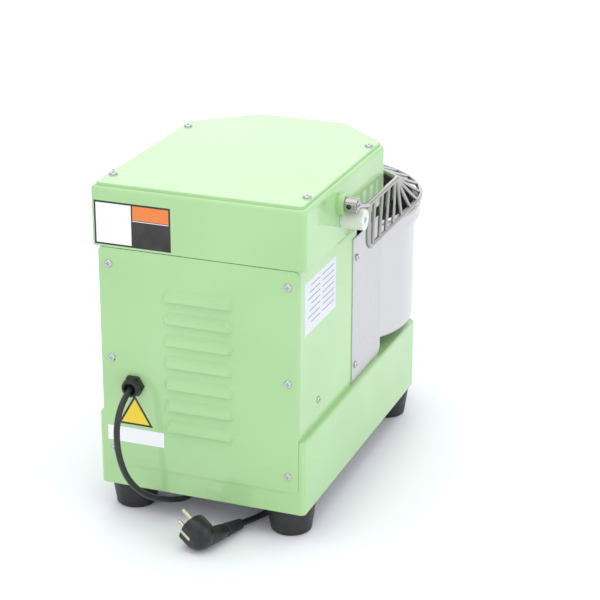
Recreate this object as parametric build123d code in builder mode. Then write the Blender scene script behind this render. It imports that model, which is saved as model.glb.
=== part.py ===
from build123d import *
import os
from math import atan2, cos, degrees, hypot, pi, radians, sin, tan

# Countertop spiral dough mixer, in millimetres. +Z is up and Z = 0 is the table top,
# the bowl is at the front (-Y), the louvred panel is at the rear (+Y), +X is the operator's right.

os.makedirs("parts", exist_ok=True)

# Housing
sheet = 1.5
foot_height = 36.3
foot_top_radius = 29.4
foot_bottom_radius = 24.5
foot_x = 100.5
foot_rear_y = 216.3
foot_front_y = -138.5
rear_y = 251.5
base_half_width = 130.0
base_height = 92.0
base_side_front_y = -159.5
base_front_y = -225.5
base_front_half_width = 64.0
base_top = foot_height + base_height
column_half_width = 123.0
column_front_y = 54.5
head_bottom = 337.3
head_top = 408.3
head_half_width = 130.6
head_rear_y = 253.5
head_side_front_y = -17.8
head_front_y = -80.5
head_front_half_width = 62.0
cover_half_width = 125.7
cover_rear_y = 249.1
cover_thickness = 3.5
cover_front_half_width = 57.5
cover_screw_x = 118.5
cover_screw_places_y = (4.0, 216.0)
column_screw_y = 188.5
column_screw_z = 156.9
corner_radius = 6.0
access_half_width = 92.0
access_front_y = 128.0
access_rear_y = 236.0

# Rear panel
panel_half_width = 122.5
panel_bottom = 64.7
panel_top = 336.3
panel_screw_x = 110.0
panel_screw_heights = (83.8, 200.3, 316.8)
louvre_count = 7
louvre_pitch = 27.1
louvre_lowest = 118.7
louvre_width = 85.5
louvre_height = 13.5
louvre_depth = 4.6
louvre_wall = 1.1

# Bowl and tools
bowl_y = -110.0
bowl_radius = 136.5
bowl_bottom = 141.0
bowl_top = 301.5
bowl_rim_radius = 144.0
bowl_rim_bottom = 284.0
bowl_corner_radius = 8.0
spiral_y = -15.0
spiral_radius = 30.0
spiral_rod_radius = 7.0
spiral_pitch = 118.0
spiral_shaft_radius = 11.0
breaker_y = -64.5
breaker_radius = 8.0
breaker_bottom = 154.0

# Motor and electrics
motor_low = 168.0
motor_length = 142.0
motor_radius = 54.0
motor_bore_radius = 34.0
motor_shaft_radius = 7.0
capacitor_place = (-88.0, 90.0)
capacitor_radius = 17.0

# Drive train
countershaft_y = 96.5
motor_y = 180.5
idler_x = 60.0
idler_y = -5.0
chain_pitch = 9.525
roller_radius = 3.2
sprocket_thickness = 5.2
motor_pulley_radius = 20.0
driven_pulley_radius = 58.0
belt_z = 362.0
spiral_chain_z = 386.0
idler_chain_z = 84.0
bowl_chain_z = 68.0

# Guard
pivot_y = 145.0
pivot_z = 384.4
boss_length = 9.0
boss_radius = 12.5
bush_radius = 8.0
hub_radius = 9.0
hub_end_x = 154.0
hub_screw_x = 145.5
guard_hub_x = 149.0
stub_radius = 6.0
rail_radius = 3.2
slat_radius = 2.3
guard_radius = 143.5
guard_ring_z = 309.0
guard_y = -107.5
guard_top_z = 364.0
guard_rear_y = 80.5
guard_corner_y = -32.0
guard_front_y = -93.0
guard_front_half_width = 66.0
slat_gap = 2.4
buffer_y = 130.0
buffer_z = 363.0
buffer_radius = 12.2
buffer_length = 27.0

# Side plates and controls
plate_thickness = 1.2
plate_front_y = -33.5
plate_rear_y = 73.5
plate_top = 316.3
plate_screw_y = 60.5
plate_screw_heights = (150.6, 289.8)
control_y = 168.0
control_z = 250.0
start_y = 192.0
stop_y = 144.0
button_z = 268.0
dial_z = 228.0
control_width = 116.0
control_height = 92.0
collar_radius = 15.0
button_radius = 11.0
mushroom_radius = 17.0
dial_radius = 12.5

# Mains lead
gland_x = 82.0
gland_z = 169.3
cord_diameter = 7.5
cord_points = [
    (82.0, 261.0, 169.3), (81.6, 286.8, 163.5), (80.4, 308.0, 138.5), (77.5, 309.5, 102.0),
    (70.5, 299.5, 67.5), (58.5, 278.5, 41.0), (45.0, 245.0, 22.0), (38.0, 203.0, 6.5),
    (38.0, 150.0, 4.0), (50.0, 85.0, 4.0), (61.0, 10.0, 4.0), (54.0, -66.0, 4.0),
    (60.0, -125.0, 4.0), (46.0, -168.0, 4.0), (2.0, -196.0, 4.0), (-44.0, -172.0, 4.0),
    (-60.0, -128.0, 4.0), (-63.0, -70.0, 4.0), (-50.0, -5.0, 4.0), (-55.0, 65.0, 4.0),
    (-71.0, 130.0, 4.0), (-66.5, 188.0, 4.0), (-56.0, 221.0, 5.2), (-47.5, 241.5, 7.4),
]
plug_angle = -23.0
plug_roll = 25.0
plug_face = (-8.4, 301.4, 25.7)
plug_radius = 18.5
plug_cap_length = 20.0
label_thickness = 0.25


def save(piece, name):
    piece.part.label = name
    export_step(piece.part, f"parts/{name}.step")
    return piece


def group(name, pieces):
    # Like pieces that share one name stay separate solids.
    with BuildPart() as whole:
        for piece in pieces:
            add(piece.part)
    return save(whole, name)


def rear_plane(y):
    return Plane(origin=(0, y, 0), x_dir=(-1, 0, 0), z_dir=(0, 1, 0))


def side_plane(x):
    return Plane(origin=(x, 0, 0), x_dir=(0, 1, 0), z_dir=(1, 0, 0))


def housing_plan(half_width, back, side_front, front, front_half):
    return [
        (-half_width, back), (half_width, back), (half_width, side_front),
        (front_half, front), (-front_half, front), (-half_width, side_front),
    ]


def plan_sketch(points, height, inset=0.0, radius=0.0):
    with BuildSketch(Plane.XY.offset(height)) as plan:
        with BuildLine():
            Polyline(*points, close=True)
        make_face()
        if inset:
            offset(amount=-inset, kind=Kind.INTERSECTION, mode=Mode.REPLACE)
        if radius:
            fillet(plan.vertices(), radius)
    return plan.sketch


def disc_sketch(x, y, z, radius):
    with BuildSketch(Plane.XY.offset(z)) as disc:
        with Locations((x, y)):
            Circle(radius)
    return disc.sketch


def box_sketch(x0, x1, y0, y1, z):
    with BuildSketch(Plane.XY.offset(z)) as box:
        with Locations(((x0 + x1) / 2, (y0 + y1) / 2)):
            Rectangle(x1 - x0, y1 - y0)
    return box.sketch


def hull_sketch(z, first, first_radius, second, second_radius):
    with BuildSketch(Plane.XY.offset(z)) as hull:
        with Locations(first):
            Circle(first_radius)
        with Locations(second):
            Circle(second_radius)
        make_hull()
    return hull.sketch


base_plan = housing_plan(base_half_width, rear_y, base_side_front_y, base_front_y, base_front_half_width)
head_plan = housing_plan(
    head_half_width, head_rear_y, head_side_front_y, head_front_y, head_front_half_width
)
cover_plan = housing_plan(
    cover_half_width, cover_rear_y, head_side_front_y - sheet, head_front_y, cover_front_half_width
)
column_plan = [
    (-column_half_width, column_front_y), (column_half_width, column_front_y),
    (column_half_width, rear_y), (-column_half_width, rear_y),
]

# ---------------------------------------------------------------- base and feet

with BuildPart() as base_shell:
    extrude(plan_sketch(base_plan, foot_height, radius=corner_radius), amount=base_height)
    fillet(base_shell.faces().sort_by(Axis.Z)[-1].edges(), 3)
    extrude(
        plan_sketch(base_plan, foot_height, sheet, corner_radius - sheet),
        amount=base_height - sheet,
        mode=Mode.SUBTRACT,
    )
    top_cut = base_top - 2 * sheet
    extrude(disc_sketch(0, bowl_y, top_cut, 27.0), amount=3 * sheet, mode=Mode.SUBTRACT)
    extrude(disc_sketch(0, countershaft_y, top_cut, 22.0), amount=3 * sheet, mode=Mode.SUBTRACT)
    extrude(
        box_sketch(-access_half_width, access_half_width, access_front_y, access_rear_y, top_cut),
        amount=3 * sheet,
        mode=Mode.SUBTRACT,
    )
save(base_shell, "base_shell")

foot_places = [(side * foot_x, y) for side in (-1, 1) for y in (foot_front_y, foot_rear_y)]

with BuildPart() as base_floor:
    floor_plan = plan_sketch(base_plan, foot_height, sheet + 0.3, corner_radius - sheet)
    extrude(floor_plan, amount=sheet)
    for x, y in foot_places:
        extrude(disc_sketch(x, y, foot_height, 3.3), amount=sheet, mode=Mode.SUBTRACT)
save(base_floor, "base_floor")

with BuildPart() as feet:
    for x, y in foot_places:
        foot_plane = Plane(origin=(x, y, 0), x_dir=(1, 0, 0), z_dir=(0, -1, 0))
        with BuildSketch(foot_plane):
            with BuildLine():
                Polyline(
                    (4.0, 9.0), (9.0, 9.0), (9.0, 0), (foot_bottom_radius - 2, 0),
                    (foot_bottom_radius, 2), (foot_top_radius, foot_height), (4.0, foot_height),
                    close=True,
                )
            make_face()
        revolve(axis=Axis((x, y, 0), (0, 0, 1)))
save(feet, "feet")

with BuildPart() as foot_screws:
    for x, y in foot_places:
        extrude(disc_sketch(x, y, 5.0, 7.0), amount=4.0)
        extrude(disc_sketch(x, y, 9.0, 3.0), amount=foot_height + 12 - 9.0)
save(foot_screws, "foot_screws")

# ---------------------------------------------------------------- column and rear panel

with BuildPart() as column_shell:
    column_height = head_bottom - base_top
    extrude(plan_sketch(column_plan, base_top, radius=5.0), amount=column_height)
    extrude(
        plan_sketch(column_plan, base_top, sheet, 5.0 - sheet),
        amount=column_height,
        mode=Mode.SUBTRACT,
    )
    extrude(
        box_sketch(-100, 100, rear_y - 8, rear_y + 1, base_top), amount=column_height, mode=Mode.SUBTRACT
    )
save(column_shell, "column_shell")

panel_outer_y = rear_y + sheet
louvre_bottoms = [louvre_lowest + louvre_pitch * i for i in range(louvre_count)]


def louvre_loft(bottom, depth, shrink):
    # A pressed hood: a round-topped outline on the panel, closing to a narrow strip at its lip.
    with BuildPart() as hood:
        with BuildSketch(rear_plane(panel_outer_y)) as root:
            with Locations((0, bottom + louvre_height / 2)):
                Rectangle(louvre_width - 2 * shrink, louvre_height - shrink)
            fillet(root.vertices().group_by(Axis.Y)[-1], 8.0)
        with BuildSketch(rear_plane(panel_outer_y + depth)) as lip:
            with Locations((0, bottom + 2.6)):
                Rectangle(louvre_width - 8 - 2 * shrink, 5.2 - shrink)
            fillet(lip.vertices().group_by(Axis.Y)[-1], 2.0)
        loft()
    return hood.part


with BuildPart() as rear_panel:
    with BuildSketch(rear_plane(rear_y)) as panel_face:
        with Locations((0, (panel_bottom + panel_top) / 2)):
            Rectangle(2 * panel_half_width, panel_top - panel_bottom)
        fillet(panel_face.vertices(), 5)
        with Locations(*[(side * panel_screw_x, z) for side in (-1, 1) for z in panel_screw_heights]):
            Circle(2.3, mode=Mode.SUBTRACT)
        with Locations((-gland_x, gland_z)):
            Circle(8.2, mode=Mode.SUBTRACT)
    extrude(amount=sheet)
    for bottom in louvre_bottoms:
        add(louvre_loft(bottom, louvre_depth, 0))
    for bottom in louvre_bottoms:
        add(louvre_loft(bottom - louvre_wall, louvre_depth - louvre_wall, louvre_wall), mode=Mode.SUBTRACT)
        with BuildSketch(rear_plane(rear_y)):
            with Locations((0, bottom + 5.0)):
                Rectangle(louvre_width - 12, 9.0)
        extrude(amount=sheet, mode=Mode.SUBTRACT)
save(rear_panel, "rear_panel")


def pan_screws(places, normal, head_radius=4.6, head_height=2.2, shank=9.0, shank_radius=2.1):
    # Pan-head screws with a cross recess; each place is the centre of the head's seat.
    with BuildPart() as screws:
        for place in places:
            seat = Plane(origin=place, z_dir=normal)
            with BuildSketch(seat.offset(-shank)):
                Circle(shank_radius)
            extrude(amount=shank)
            with BuildSketch(seat):
                Circle(head_radius)
            extrude(amount=head_height * 0.5)
            with BuildSketch(seat.offset(head_height * 0.5)):
                Circle(head_radius)
            extrude(amount=head_height * 0.5, taper=40)
            with BuildSketch(seat.offset(head_height * 0.4)):
                Rectangle(head_radius * 1.05, 0.9)
                Rectangle(0.9, head_radius * 1.05)
            extrude(amount=head_height, mode=Mode.SUBTRACT)
    return screws


panel_screw_places = [
    (side * panel_screw_x, panel_outer_y, z) for side in (-1, 1) for z in panel_screw_heights
]

# ---------------------------------------------------------------- head

with BuildPart() as head_shell:
    extrude(plan_sketch(head_plan, head_bottom, radius=corner_radius), amount=head_top - head_bottom)
    fillet(head_shell.faces().sort_by(Axis.Z)[-1].edges(), 4.5)
    extrude(
        plan_sketch(head_plan, head_bottom + sheet, sheet, corner_radius - sheet),
        amount=head_top - head_bottom - 2 * sheet,
        mode=Mode.SUBTRACT,
    )
    extrude(
        plan_sketch(head_plan, head_top - 2 * sheet, 16.0, 4.0), amount=3 * sheet, mode=Mode.SUBTRACT
    )
    floor_cut = head_bottom - sheet
    extrude(disc_sketch(0, spiral_y, floor_cut, 27.0), amount=3 * sheet, mode=Mode.SUBTRACT)
    extrude(disc_sketch(0, breaker_y, floor_cut, 6.1), amount=3 * sheet, mode=Mode.SUBTRACT)
    extrude(disc_sketch(0, countershaft_y, floor_cut, 22.0), amount=3 * sheet, mode=Mode.SUBTRACT)
    extrude(
        box_sketch(-access_half_width, access_half_width, access_front_y, access_rear_y, floor_cut),
        amount=3 * sheet,
        mode=Mode.SUBTRACT,
    )
    for boss_x in (-head_half_width - boss_length, head_half_width - sheet / 2):
        with BuildSketch(side_plane(boss_x)):
            with Locations((pivot_y, pivot_z)):
                Circle(boss_radius)
        extrude(amount=boss_length + sheet / 2)
    with BuildSketch(side_plane(-head_half_width - boss_length)):
        with Locations((pivot_y, pivot_z)):
            Circle(bush_radius)
    extrude(amount=2 * (head_half_width + boss_length), mode=Mode.SUBTRACT)
save(head_shell, "head_shell")

cover_screw_places = [
    (side * cover_screw_x, y, head_top + cover_thickness)
    for side in (-1, 1)
    for y in cover_screw_places_y
]

with BuildPart() as head_cover:
    extrude(plan_sketch(cover_plan, head_top, radius=5.0), amount=cover_thickness)
    chamfer(head_cover.faces().sort_by(Axis.Z)[-1].edges(), 0.6)
    for x, y, z in cover_screw_places:
        extrude(disc_sketch(x, y, head_top, 2.3), amount=cover_thickness, mode=Mode.SUBTRACT)
save(head_cover, "head_cover")

# ---------------------------------------------------------------- side plates and their screws

with BuildPart() as side_plates:
    for inner_x in (column_half_width, -column_half_width - plate_thickness):
        with BuildSketch(side_plane(inner_x)) as plate_face:
            with BuildLine():
                Polyline(
                    (plate_rear_y, base_top), (plate_front_y + 7, base_top),
                    (plate_front_y, base_top + 9), (plate_front_y, plate_top),
                    (plate_rear_y, plate_top),
                    close=True,
                )
            make_face()
            with Locations(*[(plate_screw_y, z) for z in plate_screw_heights]):
                Circle(2.3, mode=Mode.SUBTRACT)
        extrude(amount=plate_thickness)
save(side_plates, "side_plates")

housing_screws = [
    pan_screws(panel_screw_places, (0, 1, 0), head_height=1.9),
    pan_screws(cover_screw_places, (0, 0, 1), 5.2, 2.6),
]
for side in (-1, 1):
    plate_outer = side * (column_half_width + plate_thickness)
    plate_places = [(plate_outer, plate_screw_y, z) for z in plate_screw_heights]
    column_place = (side * column_half_width, column_screw_y, column_screw_z)
    housing_screws.append(pan_screws(plate_places + [column_place], (side, 0, 0), 4.4, 2.0))
group("housing_screws", housing_screws)

# ---------------------------------------------------------------- bowl and its drive

bowl_axis = Axis((0, bowl_y, 0), (0, 0, 1))
bowl_plane = Plane(origin=(0, bowl_y, 0), x_dir=(1, 0, 0), z_dir=(0, -1, 0))

with BuildPart() as bowl:
    with BuildSketch(bowl_plane):
        with BuildLine():
            l1 = Line((0, bowl_bottom), (bowl_radius - bowl_corner_radius, bowl_bottom))
            l2 = TangentArc(l1 @ 1, (bowl_radius, bowl_bottom + bowl_corner_radius), tangent=(1, 0))
            l3 = Line(l2 @ 1, (bowl_radius, bowl_top - 2.0))
            l4 = Line(l3 @ 1, (bowl_rim_radius - sheet, bowl_top - 2.0))
            l5 = Line(l4 @ 1, (bowl_rim_radius - sheet, bowl_rim_bottom))
            l6 = Line(l5 @ 1, (bowl_rim_radius, bowl_rim_bottom))
            l7 = Line(l6 @ 1, (bowl_rim_radius, bowl_top - 3.4))
            l8 = TangentArc(l7 @ 1, (bowl_rim_radius - 3.4, bowl_top), tangent=(0, 1))
            l9 = Line(l8 @ 1, (bowl_radius - sheet, bowl_top))
            l10 = Line(l9 @ 1, (bowl_radius - sheet, bowl_bottom + bowl_corner_radius))
            l11 = TangentArc(
                l10 @ 1, (bowl_radius - bowl_corner_radius, bowl_bottom + sheet), tangent=(0, -1)
            )
            l12 = Line(l11 @ 1, (0, bowl_bottom + sheet))
            Line(l12 @ 1, l1 @ 0)
        make_face()
    revolve(axis=bowl_axis)
save(bowl, "bowl")

with BuildPart() as bowl_hub:
    extrude(disc_sketch(0, bowl_y, bowl_bottom - 5, 52.0), amount=5)
    extrude(disc_sketch(0, bowl_y, base_top + 5, 24.0), amount=bowl_bottom - base_top - 10)
    extrude(disc_sketch(0, bowl_y, base_top + 5, 12.5), amount=30, mode=Mode.SUBTRACT)
save(bowl_hub, "bowl_hub")

with BuildPart() as bowl_shaft:
    extrude(disc_sketch(0, bowl_y, 56.0, 12.5), amount=bowl_bottom - 56.0)
save(bowl_shaft, "bowl_shaft")

with BuildPart() as bowl_seal:
    extrude(disc_sketch(0, bowl_y, base_top + 0.4, 22.0), amount=4.2)
    extrude(disc_sketch(0, bowl_y, base_top + 0.4, 12.8), amount=4.2, mode=Mode.SUBTRACT)
save(bowl_seal, "bowl_seal")


def bearing_housing(x, y, flange_z, flange_radius, low, high, outer, bore):
    # Flanged housing: the flange's underside is at flange_z and the barrel runs from low to high.
    with BuildPart() as housing:
        extrude(disc_sketch(x, y, flange_z, flange_radius), amount=4.0)
        extrude(disc_sketch(x, y, low, outer), amount=high - low)
        extrude(disc_sketch(x, y, low - 1, bore), amount=high - low + 2, mode=Mode.SUBTRACT)
        with BuildSketch(Plane.XY.offset(flange_z)):
            with Locations((x, y)):
                with PolarLocations((flange_radius + outer) / 2, 4, start_angle=45):
                    Circle(2.6)
        extrude(amount=4.0, mode=Mode.SUBTRACT)
    return housing


def bearings(x, y, lows, outer, inner, width):
    with BuildPart() as rings:
        for low in lows:
            extrude(disc_sketch(x, y, low, outer), amount=width)
            extrude(disc_sketch(x, y, low, inner), amount=width, mode=Mode.SUBTRACT)
            groove = (outer + inner) / 2
            for face_z in (low, low + width - 0.8):
                with BuildSketch(Plane.XY.offset(face_z)):
                    with Locations((x, y)):
                        Circle(groove + 2)
                        Circle(groove - 2, mode=Mode.SUBTRACT)
                extrude(amount=0.8, mode=Mode.SUBTRACT)
    return rings


under_base = base_top - sheet
save(bearing_housing(0, bowl_y, under_base - 4, 46, 88, under_base, 31, 26), "bowl_bearing_housing")

# ---------------------------------------------------------------- spiral, breaker bar and their mountings

head_floor = head_bottom + sheet
save(
    bearing_housing(0, spiral_y, head_floor, 38, 322.0, 372.0, 26.5, 21.0),
    "spiral_bearing_housing",
)

with BuildPart() as spiral_seal:
    extrude(disc_sketch(0, spiral_y, 322.4, 20.9), amount=6.0)
    extrude(disc_sketch(0, spiral_y, 322.4, 11.3), amount=6.0, mode=Mode.SUBTRACT)
save(spiral_seal, "spiral_seal")

with BuildPart() as spiral_shaft:
    extrude(disc_sketch(0, spiral_y, 300.0, spiral_shaft_radius), amount=98.0)
    chamfer(spiral_shaft.faces().sort_by(Axis.Z)[-1].edges(), 1.0)
save(spiral_shaft, "spiral_shaft")

spiral_top = 292.0
spiral_bottom = bowl_bottom + sheet + spiral_rod_radius + 2.5

with BuildPart() as spiral_hook:
    # A socket under the shaft, a radial arm, and the rod that winds down to the bowl's floor.
    with BuildLine() as winding:
        Helix(
            spiral_pitch,
            spiral_top - spiral_bottom,
            spiral_radius,
            center=(0, spiral_y, spiral_top),
            direction=(0, 0, -1),
        )
    extrude(disc_sketch(0, spiral_y, 282.0, 14.5), amount=34.0)
    arm_centre = Vector(0, spiral_y, spiral_top)
    with BuildSketch(Plane(origin=arm_centre, z_dir=winding.line @ 0 - arm_centre)):
        Circle(spiral_rod_radius)
    extrude(amount=spiral_radius)
    with BuildSketch(Plane(origin=winding.line @ 0, z_dir=winding.line % 0)):
        Circle(spiral_rod_radius)
    sweep(is_frenet=True)
    for end in (0, 1):
        with Locations(winding.line @ end):
            Sphere(spiral_rod_radius)
    extrude(disc_sketch(0, spiral_y, 300.0, spiral_shaft_radius), amount=20.0, mode=Mode.SUBTRACT)
save(spiral_hook, "spiral_hook")

with BuildPart() as breaker_bar:
    extrude(disc_sketch(0, breaker_y, breaker_bottom, breaker_radius), amount=head_bottom - breaker_bottom)
    fillet(breaker_bar.faces().sort_by(Axis.Z)[0].edges(), 5)
    extrude(disc_sketch(0, breaker_y, head_bottom - 5, 15.0), amount=5)
    extrude(disc_sketch(0, breaker_y, head_bottom, 6.0), amount=16)
save(breaker_bar, "breaker_bar")

with BuildPart() as breaker_nut:
    with BuildSketch(Plane.XY.offset(head_floor)):
        with Locations((0, breaker_y)):
            RegularPolygon(10.0, 6)
            Circle(6.02, mode=Mode.SUBTRACT)
    extrude(amount=9)
save(breaker_nut, "breaker_nut")

# ---------------------------------------------------------------- sprockets, chains, pulleys and belt


def pitch_radius(teeth):
    return chain_pitch / (2 * sin(pi / teeth))


def sprocket(x, y, z, teeth, bore, hub_radius=0.0, hub_height=0.0):
    outer = pitch_radius(teeth) + 3.0
    with BuildPart() as wheel:
        with BuildSketch(Plane.XY.offset(z - sprocket_thickness / 2)):
            with Locations((x, y)):
                Circle(outer)
                with PolarLocations(pitch_radius(teeth), teeth):
                    Circle(roller_radius, mode=Mode.SUBTRACT)
        extrude(amount=sprocket_thickness)
        if hub_height:
            extrude(disc_sketch(x, y, z, hub_radius), amount=hub_height)
        cut_height = 4 * abs(hub_height) + 20
        extrude(disc_sketch(x, y, z - cut_height / 2, bore), amount=cut_height, mode=Mode.SUBTRACT)
    return wheel


def chain(z, first, first_teeth, second, second_teeth):
    # Two side-plate bands, joined by the pins of the two straight runs.
    first_radius = pitch_radius(first_teeth)
    second_radius = pitch_radius(second_teeth)
    span = hypot(second[0] - first[0], second[1] - first[1])
    lean = degrees(atan2(second[1] - first[1], second[0] - first[0]))
    tilt = (first_radius - second_radius) / span
    with BuildPart() as loop:
        for low in (z - 4.3, z + 3.1):
            extrude(hull_sketch(low, first, first_radius + 3.6, second, second_radius + 3.6), amount=1.2)
            extrude(
                hull_sketch(low, first, first_radius - 3.6, second, second_radius - 3.6),
                amount=1.2,
                mode=Mode.SUBTRACT,
            )
        for side in (-1, 1):
            for share in (0.42, 0.5, 0.58):
                across = first_radius + (second_radius - first_radius) * share
                bend = radians(lean) + side * (pi / 2 - tilt)
                pin_x = first[0] + (second[0] - first[0]) * share + across * cos(bend)
                pin_y = first[1] + (second[1] - first[1]) * share + across * sin(bend)
                extrude(disc_sketch(pin_x, pin_y, z - 4.3, 2.4), amount=8.6)
    return loop


def pulley(x, y, z, radius, width, bore, groove=5.0):
    with BuildPart() as wheel:
        extrude(disc_sketch(x, y, z - width / 2, radius + 2.5), amount=width)
        with BuildSketch(Plane.XY.offset(z - groove)):
            with Locations((x, y)):
                Circle(radius + 3)
                Circle(radius - 5.5, mode=Mode.SUBTRACT)
        extrude(amount=2 * groove, mode=Mode.SUBTRACT)
        if radius > 40:
            with BuildSketch(Plane.XY.offset(z - width / 2)):
                with Locations((x, y)):
                    with PolarLocations(radius * 0.55, 5):
                        Circle(radius * 0.19)
            extrude(amount=width, mode=Mode.SUBTRACT)
        extrude(disc_sketch(x, y, z - width, bore), amount=2 * width, mode=Mode.SUBTRACT)
    return wheel


spiral_place = (0, spiral_y)
counter_place = (0, countershaft_y)
idler_place = (idler_x, idler_y)
bowl_place = (0, bowl_y)
motor_place = (0, motor_y)

save(sprocket(*spiral_place, spiral_chain_z, 28, spiral_shaft_radius, 18, -11), "spiral_sprocket")

save(pulley(*counter_place, belt_z, driven_pulley_radius, 14, 8.0), "driven_pulley")
save(pulley(*motor_place, belt_z, motor_pulley_radius, 14, motor_shaft_radius), "motor_pulley")

with BuildPart() as drive_belt:
    belt_low = belt_z - 4.3
    extrude(
        hull_sketch(
            belt_low, counter_place, driven_pulley_radius + 1, motor_place, motor_pulley_radius + 1
        ),
        amount=8.6,
    )
    extrude(
        hull_sketch(
            belt_low, counter_place, driven_pulley_radius - 5, motor_place, motor_pulley_radius - 5
        ),
        amount=8.6,
        mode=Mode.SUBTRACT,
    )
save(drive_belt, "drive_belt")

with BuildPart() as countershaft:
    extrude(disc_sketch(0, countershaft_y, 72.0, 8.0), amount=322.0)
    chamfer(countershaft.faces().sort_by(Axis.Z)[-1].edges(), 1.0)
save(countershaft, "countershaft")
group("countershaft_sprockets", [
    sprocket(*counter_place, spiral_chain_z, 12, 8.0),
    sprocket(*counter_place, idler_chain_z, 11, 8.0),
])

with BuildPart() as idler_shaft:
    extrude(disc_sketch(*idler_place, 60.0, 7.0), amount=under_base - 60.0 - 3)
save(idler_shaft, "idler_shaft")
group("idler_sprockets", [
    sprocket(*idler_place, idler_chain_z, 38, 7.0),
    sprocket(*idler_place, bowl_chain_z, 10, 7.0, 10.5, 12.5),
])
group("shaft_housings", [
    bearing_housing(0, countershaft_y, under_base - 4, 34, under_base - 24, under_base, 21, 17),
    bearing_housing(0, countershaft_y, head_floor, 34, head_bottom - 10, head_floor + 4, 21, 17),
    bearing_housing(*idler_place, under_base - 4, 30, under_base - 26, under_base, 19, 15),
])
group("shaft_bearings", [
    bearings(*bowl_place, (88.5, 112.0), 25.98, 12.55, 12),
    bearings(*spiral_place, (329.0, 359.0), 20.98, 11.05, 11),
    bearings(*counter_place, (under_base - 20, head_bottom - 6), 16.98, 8.05, 10),
    bearings(*idler_place, (under_base - 24,), 14.98, 7.05, 10),
    bearings(*motor_place, (303.0,), 14.98, 7.05, 9),
])
save(sprocket(*bowl_place, bowl_chain_z, 45, 12.5, 22, 12), "bowl_sprocket")
group("drive_chains", [
    chain(spiral_chain_z, counter_place, 12, spiral_place, 28),
    chain(idler_chain_z, counter_place, 11, idler_place, 38),
    chain(bowl_chain_z, idler_place, 10, bowl_place, 45),
])

# ---------------------------------------------------------------- motor and electrics

with BuildPart() as motor_frame:
    extrude(disc_sketch(*motor_place, motor_low, motor_radius), amount=motor_length)
    with BuildSketch(Plane.XY.offset(184.0)):
        with Locations(motor_place):
            with PolarLocations(motor_radius, 36):
                Rectangle(6.0, 2.0)
    extrude(amount=110.0)
    extrude(disc_sketch(*motor_place, motor_low, motor_radius - 6), amount=12.0, mode=Mode.SUBTRACT)
    extrude(
        disc_sketch(*motor_place, motor_low - 8, motor_bore_radius),
        amount=motor_length,
        mode=Mode.SUBTRACT,
    )
    extrude(disc_sketch(*motor_place, 300.0, 15.0), amount=20.0, mode=Mode.SUBTRACT)
save(motor_frame, "motor_frame")

with BuildPart() as motor_mount:
    extrude(box_sketch(-104, 104, 132, 229, head_floor), amount=4.0)
    extrude(disc_sketch(*motor_place, 310.0, 30.0), amount=head_floor - 310.0)
    extrude(disc_sketch(*motor_place, 305.0, 15.0), amount=50.0, mode=Mode.SUBTRACT)
save(motor_mount, "motor_mount")

with BuildPart() as motor_rotor:
    extrude(disc_sketch(*motor_place, motor_low + 8, motor_shaft_radius), amount=200.0)
    extrude(disc_sketch(*motor_place, motor_low + 24, motor_bore_radius - 2), amount=96.0)
save(motor_rotor, "motor_rotor")

with BuildPart() as cooling_fan:
    extrude(disc_sketch(*motor_place, 177.5, 13.0), amount=9.0)
    with BuildSketch(Plane.XY.offset(171.0)):
        with Locations(motor_place):
            Circle(44.0)
            Circle(motor_shaft_radius, mode=Mode.SUBTRACT)
    extrude(amount=1.6)
    with BuildSketch(Plane.XY.offset(171.0)):
        with Locations(motor_place):
            with PolarLocations(27.0, 9):
                Rectangle(30.0, 1.8)
    extrude(amount=8.0)
    extrude(
        disc_sketch(*motor_place, motor_low + 8, motor_shaft_radius), amount=20.0, mode=Mode.SUBTRACT
    )
save(cooling_fan, "cooling_fan")

with BuildPart() as run_capacitor:
    extrude(disc_sketch(*capacitor_place, 140.0, capacitor_radius), amount=78.0)
    fillet(run_capacitor.edges(), 2)
save(run_capacitor, "run_capacitor")

with BuildPart() as terminal_box:
    extrude(box_sketch(64, 112, 76, 116, 138.0), amount=64.0)
    fillet(terminal_box.edges().filter_by(Axis.Z), 3)
save(terminal_box, "terminal_box")

with BuildPart() as guard_sensor:
    extrude(box_sketch(-128.0, -112.0, 96.0, 124.0, 371.0), amount=24.0)
    fillet(guard_sensor.edges().filter_by(Axis.X), 2)
save(guard_sensor, "guard_sensor")

# ---------------------------------------------------------------- guard

guard_top_points = [
    (-guard_hub_x, pivot_y - 8.3, pivot_z - 3.2), (-guard_radius, guard_rear_y, guard_top_z),
    (-guard_radius, guard_corner_y, guard_top_z), (-guard_front_half_width, guard_front_y, guard_top_z),
]
mirrored_points = [(-x, y, z) for x, y, z in reversed(guard_top_points)]

with BuildPart() as guard_top_rail:
    with BuildLine() as top_path:
        FilletPolyline(*guard_top_points, *mirrored_points, radius=9.0)
    with BuildSketch(Plane(origin=top_path.line @ 0, z_dir=top_path.line % 0)):
        Circle(rail_radius)
    sweep()
save(guard_top_rail, "guard_top_rail")

ring_corner = 11.0

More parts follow.
